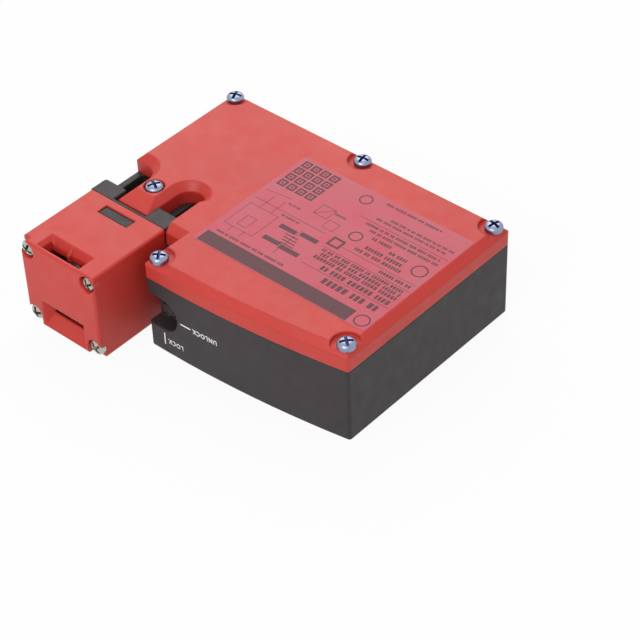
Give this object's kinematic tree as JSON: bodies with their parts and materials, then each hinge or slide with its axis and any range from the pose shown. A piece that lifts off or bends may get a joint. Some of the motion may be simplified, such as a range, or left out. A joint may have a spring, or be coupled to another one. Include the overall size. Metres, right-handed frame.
{
  "type": "guard-locking safety switch",
  "caption": "Key-operated guard-locking safety switch: flat L-shaped housing with screwed cover, key head with top and front slots, locking solenoid and turn-to-release override.",
  "frame": {"origin": "centre of the bounding box on the mounting back of the housing", "axes": "+X along the long back edge of the body, -Y towards the key head, +Z out of the cover"},
  "size_m": [0.11, 0.0942, 0.034],
  "materials": {
    "red_plastic": "moulded, fine satin grain",
    "grey_plastic": "moulded, fine grain",
    "black_plastic": "moulded",
    "pale_plastic": "moulded",
    "rubber": "matt",
    "zinc_steel": "bright zinc plated",
    "nickel_steel": "nickel plated",
    "steel": "turned",
    "cast_zinc": "die cast",
    "brass": "stamped",
    "copper": "enamelled winding"
  },
  "bodies": {
    "housing": {"base_housing": "grey_plastic", "cover": "red_plastic", "cover_gasket": "rubber", "cover_screws": "zinc_steel", "head_shell": "red_plastic", "head_screws": "nickel_steel", "neck_gasket": "rubber", "plunger_seal": "rubber", "wheel_carrier": "black_plastic", "wheel_axle": "steel", "contact_block": "pale_plastic", "contact_lid": "pale_plastic", "fixed_contacts": "brass", "bolt_guide": "pale_plastic", "solenoid_yoke": "steel", "solenoid_core": "steel", "solenoid_bobbin": "pale_plastic", "solenoid_coil": "copper", "bolt_spring": "steel", "carrier_spring": "steel", "terminal_block": "pale_plastic", "terminal_clamps": "brass", "terminal_screws": "zinc_steel"},
    "key_wheel": {"key_wheel": "cast_zinc"},
    "plunger": {"plunger": "steel"},
    "contact_carrier": {"contact_carrier": "black_plastic", "contact_bridges": "brass"},
    "override": {"override_spindle": "black_plastic", "override_seal": "rubber", "override_clip": "steel"},
    "release_carriage": {"release_carriage": "cast_zinc"},
    "lock_bolt": {"lock_bolt": "steel", "armature": "steel"}
  },
  "joints": [
    {"name": "key_wheel_turn", "type": "hinge", "parent": "housing", "child": "key_wheel", "pos_m": [-0.0391, -0.0324, 0.0146], "axis": [1, 0, 0], "range_deg": [0, 60]},
    {"name": "plunger_slide", "type": "slide", "parent": "housing", "child": "plunger", "axis": [0, -1, 0], "range_m": [0, 0.00401]},
    {"name": "carrier_slide", "type": "slide", "parent": "housing", "child": "contact_carrier", "axis": [0, -1, 0], "range_m": [0, 0.00401], "deforming": ["carrier_spring"]},
    {"name": "override_turn", "type": "hinge", "parent": "housing", "child": "override", "pos_m": [-0.0119, -0.0268, 0.0146], "axis": [0, -1, 0], "range_deg": [0, 90]},
    {"name": "release_slide", "type": "slide", "parent": "housing", "child": "release_carriage", "axis": [1, 0, 0], "range_m": [0, 0.004]},
    {"name": "bolt_slide", "type": "slide", "parent": "release_carriage", "child": "lock_bolt", "axis": [-1, 0, 0], "range_m": [0, 0.00401], "deforming": ["bolt_spring"]}
  ],
  "couplings": [
    {"joint": "plunger_slide", "follows": "key_wheel_turn", "m_per_rad": 0.0038197},
    {"joint": "carrier_slide", "follows": "key_wheel_turn", "m_per_rad": 0.0038197},
    {"joint": "bolt_slide", "follows": "key_wheel_turn", "m_per_rad": 0.0038197},
    {"joint": "override_turn", "follows": "release_slide", "rad_per_m": 392.69}
  ]
}
